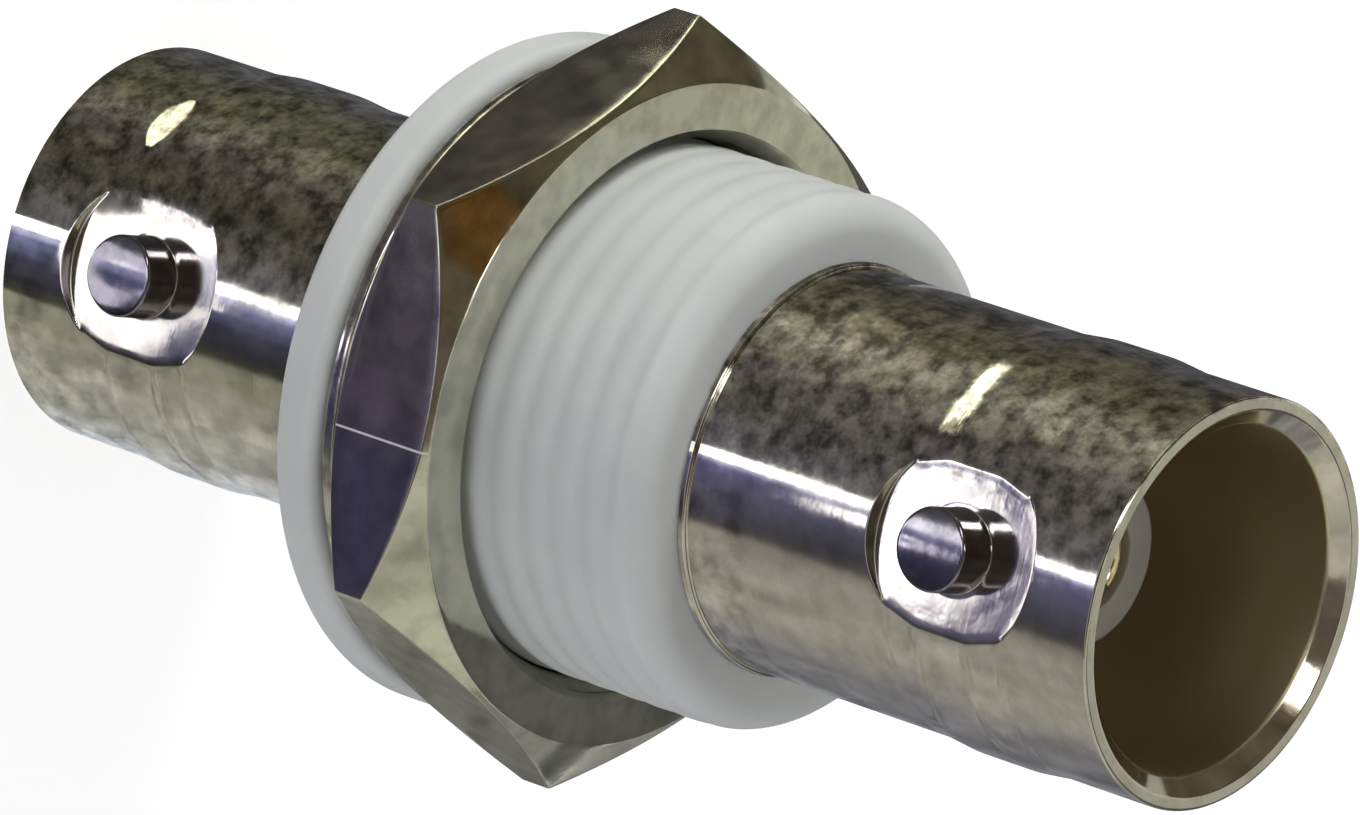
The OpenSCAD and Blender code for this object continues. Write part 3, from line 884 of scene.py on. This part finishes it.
def contactMesh(low, high):
    # each end splits into four fingers, so a slotted stretch keeps only its finger columns
    middle = (low + high) / 2
    bore, radius, lead = contact["bore"], contact["radius"], contact["lead"]
    fingerColumns, slotColumns = contact["fingerColumns"], contact["slotColumns"]
    perFinger = fingerColumns + slotColumns
    pairs = ringPairs(4 * perFinger)
    points, faces = [], []

    def ringAt(r, z):
        first = len(points)
        half = math.asin(contact["slotWidth"] / 2 / r)
        for quarter in range(4):
            centre = math.radians(45 + 90 * quarter)
            for i in range(slotColumns):
                a = centre - half + 2 * half * i / slotColumns
                points.append((r * math.cos(a), r * math.sin(a), z))
            for i in range(fingerColumns):
                a = centre + half + (math.pi / 2 - 2 * half) * i / fingerColumns
                points.append((r * math.cos(a), r * math.sin(a), z))
        return first

    def join(a, b, fingersOnly=False):
        for i, j in pairs:
            if not fingersOnly or i % perFinger >= slotColumns:
                faces.append((a + i, a + j, b + j, b + i))

    def end(tip, sign):
        # rings of one sprung end, from its slots' floor out round the tip and back inside
        steps = [tip + sign * h for h in (contact["slotDepth"], 3.2, 2.0, 1.0, 0.5, 0.22)]
        outside = [ringAt(radius, z) for z in steps]
        crown = [(radius, 0.12), (radius - 0.02, 0.05), (radius - 0.06, 0.01), (radius - 0.1, 0.0),
                 (bore + lead, 0.01), (bore + 0.5 * lead, 0.08)]
        tipRings = [ringAt(r, tip + sign * h) for r, h in crown]
        inside = [ringAt(bore, z) for z in reversed(steps)]
        chain = outside + tipRings + inside
        for a, b in zip(chain, chain[1:]):
            join(a, b, True)
        for start in (perFinger * quarter for quarter in range(4)):
            for column in (start, start + slotColumns):
                for k in range(len(steps) - 1):
                    faces.append((outside[k] + column, outside[k + 1] + column,
                                  inside[-k - 2] + column, inside[-k - 1] + column))
                faces.append((outside[-1] + column, *[t + column for t in tipRings], inside[0] + column))
            for c in range(start, start + slotColumns):
                faces.append((outside[0] + c, outside[0] + c + 1, inside[-1] + c + 1, inside[-1] + c))
        deep = ringAt(bore, tip + sign * contact["boreDepth"])
        join(inside[-1], deep)
        drillPoint = len(points)
        points.append((0, 0, tip + sign * (contact["boreDepth"] + bore)))
        faces.extend((deep + i, deep + j, drillPoint) for i, j in pairs)
        return outside[0]

    lower = end(low, 1)
    upper = end(high, -1)
    collar = contact["collar"]
    chain = [lower] + [ringAt(r, middle + h) for r, h in (
        (radius, -contact["collarHalf"]), (collar, -contact["collarHalf"]),
        (collar, contact["collarHalf"]), (radius, contact["collarHalf"]))] + [upper]
    for a, b in zip(chain, chain[1:]):
        join(a, b)
    return points, faces


contactGold = platedNickel("contactGold", goldFinish)
makePiece("centreContact", contactMesh(contactLow.z, contactHigh.z), contactGold,
          "connector", ["centre_contact"])
print("posts and contact ready")


# Lock washer: a flat ring with twisted teeth inside

washer = {"ringWidth": 0.8, "thickness": 0.36, "edge": 0.07,
          "teeth": 10, "toothWidth": 1.7, "twist": 6, "toothTip": 6.45}
washerFinish = {"bright": (0.66, 0.64, 0.56, 1), "dull": (0.34, 0.32, 0.25, 1), "patch": 0.5,
                "roughness": (0.12, 0.26), "ripple": 0.004, "turning": 0.001}


def washerMesh(middle, radius):
    half, edge = washer["thickness"] / 2, washer["edge"]
    ringR, tipR = radius - washer["ringWidth"], washer["toothTip"]
    slope = math.tan(math.radians(washer["twist"]))
    perTooth, toothColumns = 16, 8
    count = washer["teeth"] * perTooth
    points, faces = [], []

    def place(r, i):
        # tooth columns keep their distance from the tooth's middle line, so teeth are parallel-sided
        tooth, column = divmod(i, perTooth)
        centre = math.tau * (tooth + 0.5) / washer["teeth"]
        reach = washer["toothWidth"] / 2
        if column <= toothColumns:
            across = reach * (2 * column / toothColumns - 1)
            return centre + math.asin(across / r), across
        edgeTurn = math.asin(reach / r)
        gap = math.tau / washer["teeth"] - 2 * edgeTurn
        return centre + edgeTurn + gap * (column - toothColumns) / (perTooth - toothColumns), None

    def ringAt(r, z):
        first = len(points)
        for i in range(count):
            angle, across = place(r, i)
            lift = 0
            if across is not None:
                lift = slope * across * min(1, max(0, (ringR + 0.12 - r) / 0.3))
            points.append((r * math.cos(angle), r * math.sin(angle), middle + z + lift))
        return first

    def join(a, b, teeth=True, gaps=True):
        for i, j in ringPairs(count):
            if teeth if i % perTooth < toothColumns else gaps:
                faces.append((a + i, a + j, b + j, b + i))

    radii = [ringR, ringR + 0.06, ringR + 0.2, radius - 0.25, radius - edge]
    top = [ringAt(r, half) for r in radii]
    bottom = [ringAt(r, -half) for r in radii]
    rim = [ringAt(radius - edge + edge * math.cos(a), s * (half - edge) + edge * math.sin(a))
           for s, angles in ((1, (60, 30, 0)), (-1, (0, -30, -60))) for a in map(math.radians, angles)]
    chain = [top[-1]] + rim + [bottom[-1]]
    for line in (top, bottom, chain):
        for a, b in zip(line, line[1:]):
            join(a, b)
    join(top[0], bottom[0], teeth=False)
    toothRadii = [ringR - 0.12, ringR - 0.3, tipR + 0.05, tipR]
    toothTop = [top[0]] + [ringAt(r, half) for r in toothRadii]
    toothBottom = [bottom[0]] + [ringAt(r, -half) for r in toothRadii]
    for line in (toothTop, toothBottom):
        for a, b in zip(line, line[1:]):
            join(a, b, gaps=False)
    join(toothTop[-1], toothBottom[-1], gaps=False)
    for start in range(0, count, perTooth):
        for column in (start, start + toothColumns):
            for k in range(len(toothTop) - 1):
                faces.append((toothTop[k] + column, toothTop[k + 1] + column,
                              toothBottom[k + 1] + column, toothBottom[k] + column))
    return points, faces


washerLow, washerHigh = cadSpan("lock_washer")
washerSteel = platedNickel("washerSteel", washerFinish)
makePiece("lockWasher", washerMesh((washerLow.z + washerHigh.z) / 2, washerHigh.x), washerSteel,
          "washer", ["lock_washer"])
print("washer ready")


# Nut: chamfered at its corners on both faces, threaded inside

nut = {"faceInset": 0.13, "faceDrop": 0.05, "chamfer": 37.5, "turn": 2.3,
       "cornerRound": 0.10, "faceRound": 0.10, "edgeRound": 0.07,
       "bore": 6.4, "threadDepth": 0.3, "sink": 0.4, "rearSink": 0.25,
       "rowsPerTurn": 14, "flatSteps": 30}
nutFinish = {"bright": (0.63, 0.625, 0.51, 1), "dull": (0.48, 0.475, 0.38, 1), "patch": 0.7,
             "roughness": (0.08, 0.17), "ripple": 0.0025, "turning": 0.0005,
             "paleLine": {"turn": nut["turn"], "across": 0.9, "width": 0.06, "beyond": -7.85,
                         "color": (0.8, 0.78, 0.8, 1)}}


def hexagonTurns(flatR, cornerRound):
    # (angle, radius) round a hexagon with its corners near X, each a little rounded
    cornerR = flatR / math.cos(math.pi / 6)
    centreR = cornerR - cornerRound / math.cos(math.pi / 6)
    line = []
    for side in range(6):
        corner = math.pi / 3 * side
        for k in range(-3, 4):
            a = math.pi / 18 * k
            across, out = cornerRound * math.sin(a), centreR + cornerRound * math.cos(a)
            line.append((corner + math.atan2(across, out), math.hypot(across, out)))
        middle = corner + math.pi / 6
        reach = middle - line[-1][0]
        for k in range(1, nut["flatSteps"]):
            a = reach * (2 * k / nut["flatSteps"] - 1)
            line.append((middle + a, flatR / math.cos(a)))
    turn = math.radians(nut["turn"])
    return [(a + turn, r) for a, r in line]


def nutSection(hexR, low, high, flatR):
    # (radius, height) from the front countersink over both chamfers to the rear one
    faceR = flatR - nut["faceInset"]
    drop = (hexR - faceR) * math.tan(math.radians(nut["chamfer"]))
    front, rear = nut["bore"] + nut["sink"], nut["bore"] + nut["rearSink"]
    corners = [(front, high), (faceR, high - nut["faceDrop"], nut["faceRound"]),
               (hexR, high - nut["faceDrop"] - drop, nut["edgeRound"]),
               (hexR, low + drop, nut["edgeRound"]), (faceR, low, nut["faceRound"]), (rear, low)]
    rounds = roundOutline(corners, 4, guard=0)
    line = [rounds[0]]
    for k in range(4):
        arc = rounds[1 + 5 * k:6 + 5 * k]
        before, first = Vector(line[-1]), Vector(arc[0])
        line += [tuple(before.lerp(first, f)) for f in (0.1, 0.9)] + arc
    before, last = Vector(line[-1]), Vector(rounds[-1])
    return line + [tuple(before.lerp(last, f)) for f in (0.1, 0.9, 1)]


def nutMesh(low, high, flatR):
    turns = hexagonTurns(flatR, nut["cornerRound"])
    count = len(turns)
    sections = [nutSection(hexR, low, high, flatR) for angle, hexR in turns]
    rings = [[section[k] for section in sections] for k in range(len(sections[0]))]
    rows = math.ceil((high - low) / pitch * nut["rowsPerTurn"])
    for k in range(1, rows):
        z = low + (high - low) * k / rows
        lead = max(0, nut["rearSink"] - (z - low), nut["sink"] - (high - z) * 0.6)
        dips = [nut["threadDepth"] * threadDip(z / pitch - a / math.tau) for a, hexR in turns]
        rings.append([(nut["bore"] + max(lead, dip), z) for dip in dips])
    points = [(r * math.cos(a), r * math.sin(a), z)
              for ring in rings for (r, z), (a, hexR) in zip(ring, turns)]
    faces = [(here * count + i, here * count + j, after * count + j, after * count + i)
             for here, after in ringPairs(len(rings)) for i, j in ringPairs(count)]
    return points, faces


nutLow, nutHigh = cadSpan("hex_nut")
flatR = nutHigh.x / math.cos(math.radians(nut["turn"])) * math.cos(math.pi / 6)
nutNickel = platedNickel("nutNickel", nutFinish)
makePiece("hexNut", nutMesh(nutLow.z, nutHigh.z, flatR), nutNickel, "nut", ["hex_nut"])
print("nut ready")

bpy.context.scene.view_settings.view_transform = "Standard"
